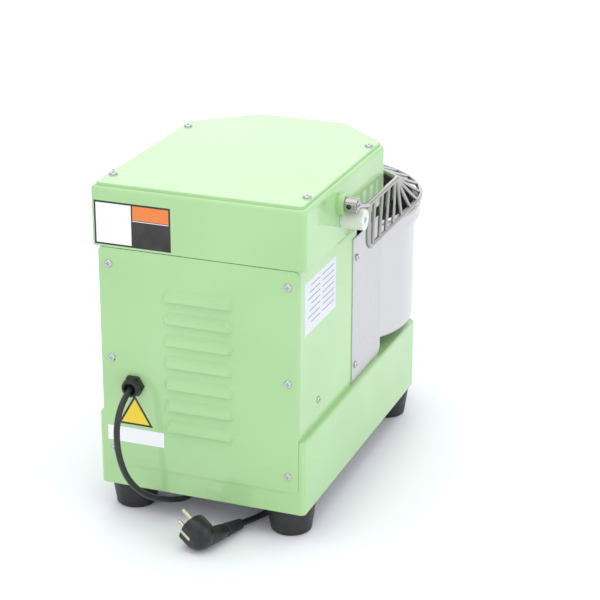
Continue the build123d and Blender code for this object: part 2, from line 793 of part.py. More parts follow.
with BuildPart() as guard_ring:
    with BuildLine() as ring_path:
        left_drop = Line(
            (-guard_radius, guard_rear_y - 4, guard_top_z),
            (-guard_radius, guard_rear_y - 4, guard_ring_z + ring_corner),
        )
        left_bend = TangentArc(
            left_drop @ 1,
            (-guard_radius, guard_rear_y - 4 - ring_corner, guard_ring_z),
            tangent=(0, 0, -1),
        )
        left_side = Line(left_bend @ 1, (-guard_radius, guard_y, guard_ring_z))
        front = ThreePointArc(
            left_side @ 1,
            (0, guard_y - guard_radius, guard_ring_z),
            (guard_radius, guard_y, guard_ring_z),
        )
        right_side = Line(front @ 1, (guard_radius, guard_rear_y - 4 - ring_corner, guard_ring_z))
        right_bend = TangentArc(
            right_side @ 1,
            (guard_radius, guard_rear_y - 4, guard_ring_z + ring_corner),
            tangent=(0, 1, 0),
        )
        Line(right_bend @ 1, (guard_radius, guard_rear_y - 4, guard_top_z))
    with BuildSketch(Plane(origin=ring_path.line @ 0, z_dir=ring_path.line % 0)):
        Circle(rail_radius)
    sweep()
save(guard_ring, "guard_ring")


def ring_point(angle):
    # A point on the ring's round front: 0 degrees is its left side, 90 its front.
    return Vector(
        -guard_radius * cos(radians(angle)), guard_y - guard_radius * sin(radians(angle)), guard_ring_z
    )


guard_corner = Vector(-guard_radius, guard_corner_y, guard_top_z)
guard_front_corner = Vector(-guard_front_half_width, guard_front_y, guard_top_z)
straight_slats = [(55.0, 61.0), (27.0, 36.5), (2.0, 11.5), (-21.0, -17.5)]
slat_ends = [
    (Vector(-guard_radius, top, guard_top_z), Vector(-guard_radius, low, guard_ring_z))
    for top, low in straight_slats
]
for place, low in ((0.02, -50.0), (0.05, -86.0)):
    top = guard_corner + (guard_front_corner - guard_corner) * place
    slat_ends.append((top, Vector(-guard_radius, low, guard_ring_z)))
for place, angle in ((0.09, 4), (0.14, 17), (0.2, 31), (0.42, 44), (0.68, 56), (0.93, 68)):
    top = guard_corner + (guard_front_corner - guard_corner) * place
    slat_ends.append((top, ring_point(angle)))
slat_ends.append((Vector(-guard_front_half_width * 0.55, guard_front_y, guard_top_z), ring_point(79)))
mirror_end = [Vector(-end.X, end.Y, end.Z) for pair in slat_ends for end in pair]
slat_ends += list(zip(mirror_end[::2], mirror_end[1::2]))
slat_ends.append((Vector(0, guard_front_y, guard_top_z), ring_point(90)))

with BuildPart() as guard_slats:
    for top, low in slat_ends:
        run = (low - top).normalized()
        length = (low - top).length
        with BuildSketch(Plane(origin=top + run * slat_gap, z_dir=run)):
            Circle(slat_radius)
        extrude(amount=length - 2 * slat_gap)
save(guard_slats, "guard_slats")

hub_start_x = head_half_width + boss_length + 0.4

with BuildPart() as guard_hubs:
    for side in (-1, 1):
        hub_plane = Plane(origin=(side * hub_start_x, pivot_y, pivot_z), z_dir=(side, 0, 0))
        with BuildSketch(hub_plane):
            Circle(hub_radius)
            Circle(stub_radius, mode=Mode.SUBTRACT)
        extrude(amount=hub_end_x - hub_start_x)
        with BuildSketch(Plane(origin=(side * hub_screw_x, pivot_y, pivot_z), z_dir=(0, 1, 0))):
            Circle(3.0)
        extrude(amount=hub_radius + 1, mode=Mode.SUBTRACT)
save(guard_hubs, "guard_hubs")

with BuildPart() as guard_stubs:
    for side in (-1, 1):
        stub_start_x = head_half_width - 12.0
        stub_plane = Plane(origin=(side * stub_start_x, pivot_y, pivot_z), z_dir=(side, 0, 0))
        with BuildSketch(stub_plane):
            Circle(stub_radius)
        extrude(amount=hub_end_x + 0.6 - stub_start_x)
        with BuildSketch(stub_plane.offset(hub_end_x - 0.6 - stub_start_x)):
            Rectangle(1.4, 9.0)
        extrude(amount=2, mode=Mode.SUBTRACT)
save(guard_stubs, "guard_stubs")

with BuildPart() as guard_set_screws:
    for side in (-1, 1):
        with BuildSketch(Plane(origin=(side * hub_screw_x, pivot_y + stub_radius, pivot_z), z_dir=(0, 1, 0))):
            Circle(2.95)
            RegularPolygon(1.5, 6, mode=Mode.SUBTRACT)
        extrude(amount=hub_radius - stub_radius - 0.4)
save(guard_set_screws, "guard_set_screws")

with BuildPart() as guard_bushes:
    for side in (-1, 1):
        bush_start = Plane(
            origin=(side * (head_half_width - 4), pivot_y, pivot_z), z_dir=(side, 0, 0)
        )
        with BuildSketch(bush_start):
            Circle(bush_radius - 0.02)
            Circle(stub_radius + 0.05, mode=Mode.SUBTRACT)
        extrude(amount=boss_length + 4)
save(guard_bushes, "guard_bushes")

with BuildPart() as guard_magnet:
    magnet_plane = Plane(
        origin=(-head_half_width + 12.0, pivot_y, pivot_z), x_dir=(0, 1, 0), z_dir=(1, 0, 0)
    )
    with BuildSketch(magnet_plane):
        Circle(9.0)
        with Locations((-12.0, 0)):
            Rectangle(15.0, 8.0)
        Circle(stub_radius - 3, mode=Mode.SUBTRACT)
    extrude(amount=5.0)
save(guard_magnet, "guard_magnet")

with BuildPart() as guard_buffers:
    for side in (-1, 1):
        buffer_plane = Plane(
            origin=(side * (head_half_width + 0.2), buffer_y, buffer_z), z_dir=(side, 0, 0)
        )
        with BuildSketch(buffer_plane):
            Circle(buffer_radius)
        extrude(amount=buffer_length)
        with BuildSketch(buffer_plane.offset(buffer_length - 7)):
            Circle(4.0)
        extrude(amount=7.0, mode=Mode.SUBTRACT)
save(guard_buffers, "guard_buffers")

# ---------------------------------------------------------------- controls on the operator's right

panel_x = column_half_width
control_plane = Plane(origin=(panel_x, control_y, control_z), x_dir=(0, 1, 0), z_dir=(1, 0, 0))
button_places = {"start_button": (start_y, 6.5), "stop_button": (stop_y, 12.5)}

with BuildPart() as control_plate:
    with BuildSketch(control_plane) as control_face:
        Rectangle(control_width, control_height)
        fillet(control_face.vertices(), 6)
    extrude(amount=2.0)
    for y in (start_y, stop_y):
        with BuildSketch(Plane(origin=(panel_x, y, button_z), x_dir=(0, 1, 0), z_dir=(1, 0, 0))):
            Circle(collar_radius)
        extrude(amount=8.0)
        with BuildSketch(Plane(origin=(panel_x, y, button_z), x_dir=(0, 1, 0), z_dir=(1, 0, 0))):
            Circle(button_radius + 0.5)
        extrude(amount=8.0, mode=Mode.SUBTRACT)
    with BuildSketch(Plane(origin=(panel_x, control_y, dial_z), x_dir=(0, 1, 0), z_dir=(1, 0, 0))):
        Circle(3.5)
    extrude(amount=2.0, mode=Mode.SUBTRACT)
save(control_plate, "control_plate")

for name, (y, stem_length) in button_places.items():
    with BuildPart() as button:
        with BuildSketch(Plane(origin=(panel_x + 4.5, y, button_z), x_dir=(0, 1, 0), z_dir=(1, 0, 0))):
            Circle(button_radius)
        extrude(amount=stem_length)
        if name == "stop_button":
            head_plane = Plane(origin=(panel_x + 13.0, y, button_z), x_dir=(0, 1, 0), z_dir=(1, 0, 0))
            with BuildSketch(head_plane):
                Circle(mushroom_radius)
            extrude(amount=10.0)
        fillet(button.faces().sort_by(Axis.X)[-1].edges(), 2.0)
    save(button, name)

dial_plane = Plane(origin=(panel_x, control_y, dial_z), x_dir=(0, 1, 0), z_dir=(1, 0, 0))

with BuildPart() as speed_dial:
    with BuildSketch(dial_plane.offset(0.5)):
        Circle(3.4)
    extrude(amount=4.0)
    with BuildSketch(dial_plane.offset(2.5)):
        Circle(dial_radius + 1.5)
    extrude(amount=6.0)
    with BuildSketch(dial_plane.offset(8.5)):
        Circle(dial_radius)
    extrude(amount=11.0)
    with BuildSketch(dial_plane.offset(12.0)):
        with Locations((0, 9.0)):
            Rectangle(2.0, 8.0)
    extrude(amount=10.0, mode=Mode.SUBTRACT)
    fillet(speed_dial.faces().sort_by(Axis.X)[-1].edges().filter_by(GeomType.CIRCLE), 1.0)
save(speed_dial, "speed_dial")

# ---------------------------------------------------------------- labels, left plain

with BuildPart() as labels:
    with BuildSketch(rear_plane(panel_outer_y)):
        with Locations((-81.7, 103.8)):
            Rectangle(72.5, 19.0)
        with BuildLine():
            Polyline((-59.3, 117.8), (-104.0, 117.8), (-82.0, 156.5), close=True)
        make_face()
    extrude(amount=label_thickness)
    with BuildSketch(rear_plane(head_rear_y)):
        with Locations((-78.4, 365.9)):
            Rectangle(94.8, 52.2)
    extrude(amount=label_thickness)
    with BuildSketch(side_plane(-column_half_width - label_thickness)):
        with Locations((183.0, 284.0)):
            Rectangle(103.0, 63.5)
    extrude(amount=label_thickness)
save(labels, "labels")

# ---------------------------------------------------------------- mains lead

gland_place = (-gland_x, gland_z)

with BuildPart() as cable_gland:
    with BuildSketch(rear_plane(rear_y - 9)):
        with Locations(gland_place):
            Circle(8.0)
    extrude(amount=9 + sheet)
    with BuildSketch(rear_plane(panel_outer_y)):
        with Locations(gland_place):
            RegularPolygon(13.9, 6)
    extrude(amount=5.0)
    with BuildSketch(rear_plane(panel_outer_y + 5)):
        with Locations(gland_place):
            Circle(11.6)
    extrude(amount=9.5, taper=10)
    with BuildSketch(rear_plane(cord_points[0][1])):
        with Locations(gland_place):
            Circle(6.2)
    extrude(amount=10.0, mode=Mode.SUBTRACT)
save(cable_gland, "cable_gland")

runs = [Vector(*b) - Vector(*a) for a, b in zip(cord_points, cord_points[1:])]
cord_radii = []
for before, after in zip(runs, runs[1:]):
    half_turn = radians(before.get_angle(after)) / 2
    cord_radii.append(0.45 * min(before.length, after.length) / tan(half_turn))
print("cord bend radii", [round(r, 1) for r in cord_radii])
print("cord runs", [round(run.length, 1) for run in runs])

with BuildPart() as power_cord:
    with BuildLine() as cord_path:
        FilletPolyline(*cord_points, radius=cord_radii)
    with BuildSketch(Plane(origin=cord_path.line @ 0, z_dir=cord_path.line % 0)):
        Circle(cord_diameter / 2)
    sweep()
save(power_cord, "power_cord")
cord_length = sum(edge.length for edge in cord_path.edges())
print("cord length", round(cord_length, 1))
print("tube volume", power_cord.part.volume, "section times length", pi * cord_diameter**2 / 4 * cord_length)

# The plug lies rolled about its lead, so its pins point a little upwards.
cable_angle = plug_angle - 90.0
plug_level = Vector(cos(radians(plug_angle)), sin(radians(plug_angle)), 0)
plug_out = plug_level * cos(radians(plug_roll)) + Vector(0, 0, sin(radians(plug_roll)))
pin_line = Vector(0, 0, cos(radians(plug_roll))) - plug_level * sin(radians(plug_roll))
cable_out = Vector(cos(radians(cable_angle)), sin(radians(cable_angle)), 0)
plug_centre = Vector(*plug_face)
boot_end = Vector(*cord_points[-1])
boot_direction = Vector(*cord_points[-2]) - boot_end

with BuildPart() as plug_body:
    with BuildSketch(Plane(origin=plug_centre, x_dir=cable_out, z_dir=-plug_out)):
        Circle(plug_radius)
    extrude(amount=plug_cap_length)
    back_centre = plug_centre - plug_out * plug_cap_length
    with BuildSketch(Plane(origin=back_centre, x_dir=cable_out, z_dir=-plug_out)):
        Circle(plug_radius)
    extrude(amount=14.0, taper=24)
    boot_start = back_centre - plug_out * 3.0
    with BuildSketch(Plane(origin=boot_start, x_dir=plug_out, z_dir=cable_out)):
        Ellipse(9.5, 11.0)
    with BuildSketch(Plane(origin=boot_end, x_dir=plug_out, z_dir=-boot_direction)):
        Ellipse(6.6, 6.4)
    loft()
save(plug_body, "plug_body")

with BuildPart() as plug_pins:
    for lift in (-9.5, 9.5):
        pin_base = plug_centre + pin_line * lift
        with BuildSketch(Plane(origin=pin_base, x_dir=cable_out, z_dir=plug_out)):
            Circle(2.4)
        extrude(amount=19.0)
save(plug_pins, "plug_pins")

bodies_on_table = [base_shell, column_shell, head_shell, rear_panel, guard_ring, guard_stubs, bowl]
for body in bodies_on_table:
    box = body.part.bounding_box()
    print(body.part.label, [round(v, 2) for v in (*box.min, *box.max)])
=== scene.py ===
import math

import bmesh
import bpy
from mathutils import Matrix, Vector


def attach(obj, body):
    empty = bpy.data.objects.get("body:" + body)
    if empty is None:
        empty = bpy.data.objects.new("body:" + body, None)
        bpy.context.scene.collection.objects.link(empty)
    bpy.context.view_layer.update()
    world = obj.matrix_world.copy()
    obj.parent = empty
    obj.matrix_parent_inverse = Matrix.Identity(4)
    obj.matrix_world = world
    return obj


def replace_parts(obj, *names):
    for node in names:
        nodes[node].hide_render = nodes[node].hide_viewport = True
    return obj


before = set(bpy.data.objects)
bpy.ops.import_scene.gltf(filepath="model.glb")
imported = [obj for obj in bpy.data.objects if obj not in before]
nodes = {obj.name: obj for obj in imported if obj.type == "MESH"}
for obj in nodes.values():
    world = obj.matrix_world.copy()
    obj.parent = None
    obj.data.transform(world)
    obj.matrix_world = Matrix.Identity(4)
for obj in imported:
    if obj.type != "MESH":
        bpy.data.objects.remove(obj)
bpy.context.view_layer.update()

mm = 0.001

# camera, world and lights

camera = {
    "place": (-0.82901, 2.11997, 1.0783),
    "turn": 20.678,  # degrees round from straight ahead
    "drop": 21.192,  # degrees below the horizon
    "roll": 0.168,
    "lens": 116.04,
}

lights = {
    "overhead": {"place": (0.1, 0.2, 2.4), "aim": (0, 0, 0.2), "size": 2.6, "watts": 15},
    "leftWall": {"place": (-2.6, 0.5, 1.3), "aim": (0, 0, 0.2), "size": 2.2, "watts": 10},
    "rearFill": {"place": (0.3, 2.8, 0.9), "aim": (0, 0.25, 0), "size": 2.4, "watts": 5},
    "frontFill": {"place": (0.6, -2.6, 1.4), "aim": (0, 0, 0.2), "size": 2.2, "watts": 8},
}


def makeCamera(data):
    turn, drop = math.radians(data["turn"]), math.radians(data["drop"])
    ahead = Vector(
        (math.sin(turn) * math.cos(drop), -math.cos(turn) * math.cos(drop), -math.sin(drop))
    )
    right = ahead.cross(Vector((0, 0, 1))).normalized()
    up = right.cross(ahead)
    level = Matrix((right, up, -ahead)).transposed().to_4x4()
    viewer = bpy.data.objects.new("viewer", bpy.data.cameras.new("viewer"))
    viewer.data.lens = data["lens"]
    viewer.data.sensor_width = 36
    viewer.data.clip_start = 0.05
    roll = Matrix.Rotation(math.radians(data["roll"]), 4, "Z")
    viewer.matrix_world = Matrix.Translation(data["place"]) @ level @ roll
    bpy.context.scene.collection.objects.link(viewer)
    bpy.context.scene.camera = viewer


def makeLight(name, data):
    lamp = bpy.data.lights.new(name, "AREA")
    lamp.shape = "DISK"
    lamp.size = data["size"]
    lamp.energy = data["watts"]
    holder = bpy.data.objects.new(name, lamp)
    place = Vector(data["place"])
    holder.location = place
    holder.rotation_mode = "QUATERNION"
    holder.rotation_quaternion = (Vector(data["aim"]) - place).to_track_quat("-Z", "Y")
    bpy.context.scene.collection.objects.link(holder)


makeCamera(camera)
for name, data in lights.items():
    makeLight(name, data)
print("camera and lights placed")


# materials

def linear(hexColour):
    # sRGB hex to the linear values that the shader wants
    parts = [int(hexColour[i : i + 2], 16) / 255 for i in (0, 2, 4)]
    curved = [p / 12.92 if p <= 0.04045 else ((p + 0.055) / 1.055) ** 2.4 for p in parts]
    return (*curved, 1.0)


def addNode(tree, kind, settings=None, links=None):
    node = tree.nodes.new(kind)
    for name, value in (settings or {}).items():
        if isinstance(name, int) or name in node.inputs:
            node.inputs[name].default_value = value
        else:
            setattr(node, name, value)
    for name, source in (links or {}).items():
        tree.links.new(source, node.inputs[name])
    return node


def newMaterial(name, shader):
    material = bpy.data.materials.new(name)
    material.use_nodes = True
    tree = material.node_tree
    tree.nodes.clear()
    surface = addNode(tree, "ShaderNodeBsdfPrincipled", shader)
    addNode(tree, "ShaderNodeOutputMaterial", links={"Surface": surface.outputs[0]})
    place = addNode(tree, "ShaderNodeTexCoord").outputs["Object"]
    return material, tree, surface, place


def grain(tree, place, sizeMm, stretch=(1, 1, 1), detail=2.0):
    # noise whose lumps are about sizeMm across, longer where stretch is small
    fitted = addNode(tree, "ShaderNodeMapping", {"Scale": stretch}, {"Vector": place})
    settings = {"Scale": 1 / (sizeMm * mm), "Detail": detail}
    return addNode(tree, "ShaderNodeTexNoise", settings, {"Vector": fitted.outputs[0]}).outputs["Fac"]


def spread(tree, source, low, high, fromLow=0.3, fromHigh=0.7):
    settings = {"From Min": fromLow, "From Max": fromHigh, "To Min": low, "To Max": high}
    return addNode(tree, "ShaderNodeMapRange", settings, {"Value": source}).outputs[0]


def tint(tree, source, first, second):
    mixed = addNode(
        tree,
        "ShaderNodeMix",
        {"data_type": "RGBA", 6: linear(first), 7: linear(second)},
        {0: source},
    )
    return mixed.outputs[2]


def roughen(tree, surface, height, depthMm, strength=1.0):
    settings = {"Strength": strength, "Distance": depthMm * mm}
    bump = addNode(tree, "ShaderNodeBump", settings, {"Height": height})
    tree.links.new(bump.outputs[0], surface.inputs["Normal"])


# Epoxy-polyester powder coat, cured gloss: it levels into a faint orange peel,
# so reflections are clear and slightly wavy.
powderCoat = {"light": "ABD398", "deep": "A4CE91", "peelMm": 2.2, "peelDepth": 0.012, "rough": 0.13}


def glossPowderCoat(data):
    shader = {"Roughness": data["rough"], "IOR": 1.5, "Coat Weight": 0.25, "Coat Roughness": 0.05}
    material, tree, surface, place = newMaterial("glossPowderCoat", shader)
    drift = spread(tree, grain(tree, place, 90, detail=1.0), 0, 1)
    tree.links.new(tint(tree, drift, data["light"], data["deep"]), surface.inputs["Base Color"])
    peel = grain(tree, place, data["peelMm"], detail=1.5)
    roughen(tree, surface, peel, data["peelDepth"])
    return material


# 304 stainless, belt-brushed: fine lines along one way, so highlights smear across them.
satinSteel = {"light": "CBCAC9", "deep": "C0BFBF", "lineMm": 0.5, "rough": (0.24, 0.34)}

# 304 stainless rod, electropolished after bending: smoother and darker in its reflections.
polishedRod = {"light": "B4B2AE", "deep": "A19F9C", "lineMm": 0.5, "rough": (0.12, 0.20)}


def brushedStainless(name, stretch, data):
    material, tree, surface, place = newMaterial(name, {"Metallic": 1.0})
    lines = grain(tree, place, data["lineMm"], stretch, detail=3.0)
    tree.links.new(tint(tree, lines, data["deep"], data["light"]), surface.inputs["Base Color"])
    low, high = data["rough"]
    tree.links.new(spread(tree, lines, low, high), surface.inputs["Roughness"])
    roughen(tree, surface, lines, 0.006)
    return material


# 304 stainless, spun on a lathe and polished along the turns: rings round the bowl's axis.
spunSteel = {"light": "D2D1CF", "deep": "CAC9C8", "ringMm": 0.9, "rough": (0.20, 0.27)}


def spunStainless(data):
    material, tree, surface, place = newMaterial("spunStainless", {"Metallic": 1.0})
    rings = grain(tree, place, data["ringMm"], (0.02, 0.02, 1), detail=3.0)
    tree.links.new(tint(tree, rings, data["deep"], data["light"]), surface.inputs["Base Color"])
    low, high = data["rough"]
    tree.links.new(spread(tree, rings, low, high), surface.inputs["Roughness"])
    roughen(tree, surface, rings, 0.004)
    return material


# Carbon steel, turned and lightly oiled: grey, even, with a soft sheen.
turnedSteel = {"light": "9C9EA2", "deep": "83858A", "lumpMm": 1.2, "rough": (0.28, 0.45)}

# Zinc-plated steel: bright, a little blue, with fine tumbling marks.
zincPlate = {"light": "CFD0D2", "deep": "AEB0B3", "lumpMm": 0.6, "rough": (0.16, 0.30)}

# Guard set screws painted near black: painted shade standing in for the dark sockets they sit in, with a
# slightly oily sheen.
setScrewSocketShade = {"light": "3C3C3E", "deep": "2B2B2D", "lumpMm": 0.5, "rough": (0.30, 0.42)}

# Cast aluminium, tumbled: pale grey with a coarse satin skin.
castAluminiumSkin = {"light": "B9BBBE", "deep": "9FA2A6", "lumpMm": 0.9, "rough": (0.38, 0.55)}

# Nickel-plated brass contact pins: warm silver.
nickelPlate = {"light": "DDD6BC", "deep": "C8C0A2", "lumpMm": 0.8, "rough": (0.14, 0.24)}

# Sintered bronze, oil filled: dull yellow brown, finely porous.
sinteredBronzeSkin = {"light": "B08A55", "deep": "94713F", "lumpMm": 0.4, "rough": (0.36, 0.50)}


def metalSkin(name, data, depthMm=0.01):
    material, tree, surface, place = newMaterial(name, {"Metallic": 1.0})
    lumps = grain(tree, place, data["lumpMm"])
    shade = spread(tree, lumps, 0, 1)
    tree.links.new(tint(tree, shade, data["deep"], data["light"]), surface.inputs["Base Color"])
    low, high = data["rough"]
    tree.links.new(spread(tree, lumps, low, high), surface.inputs["Roughness"])
    roughen(tree, surface, lumps, depthMm)
    return material


# Grey iron, sand cast and painted: the sand's lumps show through one thin coat.
castIronPaint = {"light": "55585C", "deep": "46494D", "lumpMm": 1.6, "depth": 0.12, "rough": 0.5}

# Natural rubber, compression moulded: deep black brown, soft sheen, a fine mould texture.
mouldedRubberSkin = {"light": "2B2A2B", "deep": "1F1E1F", "lumpMm": 0.9, "depth": 0.03, "rough": 0.48}

# PVC cable sheath, extruded: near black and slightly glossy.
extrudedPvc = {"light": "2A2A2C", "deep": "202022", "lumpMm": 1.4, "depth": 0.015, "rough": 0.36}

# Polyamide, injection moulded with a fine spark texture: black with a low sheen.
mouldedPolyamide = {"light": "1E1E20", "deep": "151517", "lumpMm": 0.5, "depth": 0.02, "rough": 0.34}

# Polycarbonate control panel film: dark grey, finely textured.
controlFilm = {"light": "3A3D40", "deep": "323538", "lumpMm": 0.5, "depth": 0.01, "rough": 0.4}

# Nylon 6, turned from rod: milky white, with light going a little way in.
turnedNylonSkin = {"light": "E4E8E1", "deep": "DADFD7", "lumpMm": 1.5, "depth": 0.01, "rough": 0.38}

# Glossy moulded ABS of the two buttons.
startAbs = {"light": "1E9A48", "deep": "17863D", "lumpMm": 2.0, "depth": 0.004, "rough": 0.22}
stopAbs = {"light": "C8241C", "deep": "B31C15", "lumpMm": 2.0, "depth": 0.004, "rough": 0.22}


def mouldedSkin(name, data, shader=None):
    settings = {"Roughness": data["rough"], "IOR": 1.5, **(shader or {})}
    material, tree, surface, place = newMaterial(name, settings)
    lumps = grain(tree, place, data["lumpMm"])
    shade = spread(tree, grain(tree, place, 12 * data["lumpMm"]), 0, 1)
    tree.links.new(tint(tree, shade, data["deep"], data["light"]), surface.inputs["Base Color"])
    roughen(tree, surface, lumps, data["depth"])
    return material


# Vinyl film, printed: flat colour with a semi-gloss face.
vinylInks = {
    "white": "F3F4F5", "yellow": "F2D327", "dark": "24211F", "orange": "E9803A", "grey": "A9ADB5",
    "silver": "DBDEE4", "slate": "6C7484",
}


def printedVinyl(name, ink):
    material, tree, surface, place = newMaterial(name, {"Roughness": 0.34, "IOR": 1.46})
    fibre = grain(tree, place, 0.7)
    worn = spread(tree, grain(tree, place, 25), 0, 0.06)
    tree.links.new(tint(tree, worn, ink, vinylInks["grey"]), surface.inputs["Base Color"])
    roughen(tree, surface, fibre, 0.004)
    return material


green = glossPowderCoat(powderCoat)
steelAcross = brushedStainless("brushedStainlessPlate", (1, 1, 0.02), satinSteel)
steelRods = brushedStainless("polishedStainlessRod", (0.5, 0.5, 0.5), polishedRod)
steelBowl = spunStainless(spunSteel)
machined = metalSkin("turnedCarbonSteel", turnedSteel)
zinc = metalSkin("zincPlatedSteel", zincPlate)
# painted shade: the set screw colour is near black to stand in for the shade in their sockets
setScrewShadeMaterial = metalSkin("setScrewPaintedShadeSteel", setScrewSocketShade)
aluminium = metalSkin("castAluminium", castAluminiumSkin, 0.03)
nickel = metalSkin("nickelPlatedBrass", nickelPlate)
bronze = metalSkin("sinteredBronze", sinteredBronzeSkin)
iron = mouldedSkin("paintedCastIron", castIronPaint)
rubber = mouldedSkin("mouldedRubber", mouldedRubberSkin)
pvc = mouldedSkin("extrudedPvc", extrudedPvc)
polyamide = mouldedSkin("mouldedPolyamide", mouldedPolyamide)
film = mouldedSkin("controlPanelFilm", controlFilm)
nylon = mouldedSkin(
    "turnedNylon", turnedNylonSkin, {"Subsurface Weight": 0.25, "Subsurface Scale": 0.003}
)
startPlastic = mouldedSkin("startButtonAbs", startAbs)
stopPlastic = mouldedSkin("stopButtonAbs", stopAbs)
inks = {name: printedVinyl("vinyl" + name.title(), ink) for name, ink in vinylInks.items()}

finishes = {
    "base_shell": green, "column_shell": green, "rear_panel": green, "head_shell": green,
    "head_cover": green, "side_plates": steelAcross, "bowl": steelBowl, "breaker_bar": steelRods,
    "spiral_hook": steelRods, "spiral_shaft": steelRods, "guard_top_rail": steelRods,
    "guard_ring": steelRods, "guard_slats": steelRods, "guard_hubs": steelRods,
    "guard_stubs": steelRods, "base_floor": machined, "bowl_shaft": machined,
    "countershaft": machined, "idler_shaft": machined, "spiral_sprocket": machined,
    "countershaft_sprockets": machined, "idler_sprockets": machined, "bowl_sprocket": machined,
    "drive_chains": machined, "shaft_bearings": machined, "breaker_nut": machined,
    "motor_mount": machined, "motor_rotor": machined, "guard_set_screws": setScrewShadeMaterial,
    "foot_screws": machined, "housing_screws": zinc, "bowl_bearing_housing": iron,
    "spiral_bearing_housing": iron, "shaft_housings": iron, "bowl_hub": aluminium,
    "motor_frame": aluminium, "motor_pulley": aluminium, "driven_pulley": aluminium,
    "feet": rubber, "drive_belt": rubber, "bowl_seal": rubber, "spiral_seal": rubber,
    "power_cord": pvc, "cable_gland": polyamide, "plug_body": polyamide,
    "cooling_fan": polyamide, "speed_dial": polyamide, "terminal_box": polyamide,
    "run_capacitor": polyamide, "guard_sensor": polyamide, "guard_magnet": polyamide,
    "control_plate": film, "guard_buffers": nylon, "guard_bushes": bronze, "plug_pins": nickel,
    "labels": inks["white"], "start_button": startPlastic, "stop_button": stopPlastic,
}

for name, node in nodes.items():
    node.data.materials.clear()
    node.data.materials.append(finishes[name])
print("materials made and given to", len(finishes), "nodes")


# helpers for pieces

def show(mesh, name, material, body, smooth=True):
    piece = bpy.data.objects.new(name, mesh)
    bpy.context.scene.collection.objects.link(piece)
    mesh.materials.append(material)
    if smooth:
        mesh.shade_smooth()
    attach(piece, body)
    return piece


def lathe(outline, steps, frameMatrix):
    # turns (radius, along) points, in metres, round the local Z of frameMatrix
    mesh = bmesh.new()
    rings = []
    for radius, along in outline:
        if radius < 1e-6:
            rings.append([mesh.verts.new((0, 0, along))])
            continue
        turned = [2 * math.pi * i / steps for i in range(steps)]
        rings.append([mesh.verts.new((radius * math.cos(a), radius * math.sin(a), along)) for a in turned])
    for low, high in zip(rings, rings[1:]):
        for i in range(steps):
            j = (i + 1) % steps
            corners = [low[i % len(low)], low[j % len(low)], high[j % len(high)], high[i % len(high)]]
            unique = list(dict.fromkeys(corners))
            if len(unique) > 2:
                mesh.faces.new(unique)
    mesh.transform(frameMatrix)
    return mesh


def asMesh(built, name):
    bmesh.ops.recalc_face_normals(built, faces=built.faces)
    mesh = bpy.data.meshes.new(name)
    built.to_mesh(mesh)
    built.free()
    return mesh


def frameAt(place, out, across):
    # local Z along out, local X along across
    z = Vector(out).normalized()
    x = (Vector(across) - z * Vector(across).dot(z)).normalized()
    turned = Matrix((x, z.cross(x), z)).transposed().to_4x4()
    return Matrix.Translation(Vector(place)) @ turned


def bevelEdges(piece, width):
    rounding = piece.modifiers.new("rounded edges", "BEVEL")
    rounding.width = width
    rounding.segments = 2
    rounding.limit_method = "ANGLE"
    rounding.angle_limit = math.radians(35)
    rounding.harden_normals = False


def addPrism(built, lowCorners, highCorners):
    low = [built.verts.new(c) for c in lowCorners]
    high = [built.verts.new(c) for c in highCorners]
    built.faces.new(low)
    built.faces.new(high)
    for i in range(len(low)):
        j = (i + 1) % len(low)
        built.faces.new((low[i], low[j], high[j], high[i]))


# the mains lead

lead = {
    "diameter": 7.5 * mm,
    "length": 1.1433,
    "points": (
        (0.082, 0.261, 0.1693), (0.0816, 0.2868, 0.1635), (0.0804, 0.308, 0.1385),
        (0.0775, 0.3095, 0.102), (0.0705, 0.2995, 0.0675), (0.0585, 0.2785, 0.041),
        (0.045, 0.245, 0.022), (0.038, 0.203, 0.0065), (0.038, 0.150, 0.004),
        (0.050, 0.085, 0.004), (0.061, 0.010, 0.004), (0.054, -0.066, 0.004),
        (0.060, -0.125, 0.004), (0.046, -0.168, 0.004), (0.002, -0.196, 0.004),
        (-0.044, -0.172, 0.004), (-0.060, -0.128, 0.004), (-0.063, -0.070, 0.004),
        (-0.050, -0.005, 0.004), (-0.055, 0.065, 0.004), (-0.071, 0.130, 0.004),
        (-0.0665, 0.188, 0.004), (-0.056, 0.221, 0.0052), (-0.0475, 0.2415, 0.0074),
    ),
}


def makeLead(data):
    curve = bpy.data.curves.new("mains_lead", "CURVE")
    curve.dimensions = "3D"
    curve.bevel_depth = data["diameter"] / 2
    curve.bevel_resolution = 6
    curve.resolution_u = 10
    curve.use_fill_caps = True
    spline = curve.splines.new("NURBS")
    spline.points.add(len(data["points"]) - 1)
    for point, place in zip(spline.points, data["points"]):
        point.co = (*place, 1)
    spline.order_u = 3
    spline.use_endpoint_u = True
    curve.materials.append(pvc)
    piece = bpy.data.objects.new("mains_lead", curve)
    bpy.context.scene.collection.objects.link(piece)
    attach(piece, "housing")
    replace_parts(piece, "power_cord")
    return piece


mainsLead = makeLead(lead)
print("mains lead laid")


# the angled earthed plug, resting on the back edge of its cap with the pins tilted up

plug = {
    "face": Vector((-0.0084, 0.3014, 0.0257)),
    "turn": -23.0,  # degrees round from +X
    "tilt": 25.0,  # degrees up, because the cap rests on its back edge
    "capRadius": 18.5 * mm,
    "capLength": 20.0 * mm,
    "notch": 2.6 * mm,
    "bootEnd": Vector(lead["points"][-1]),
    "ribs": 7,
    "pinOffsets": (-9.5 * mm, 9.5 * mm),
}


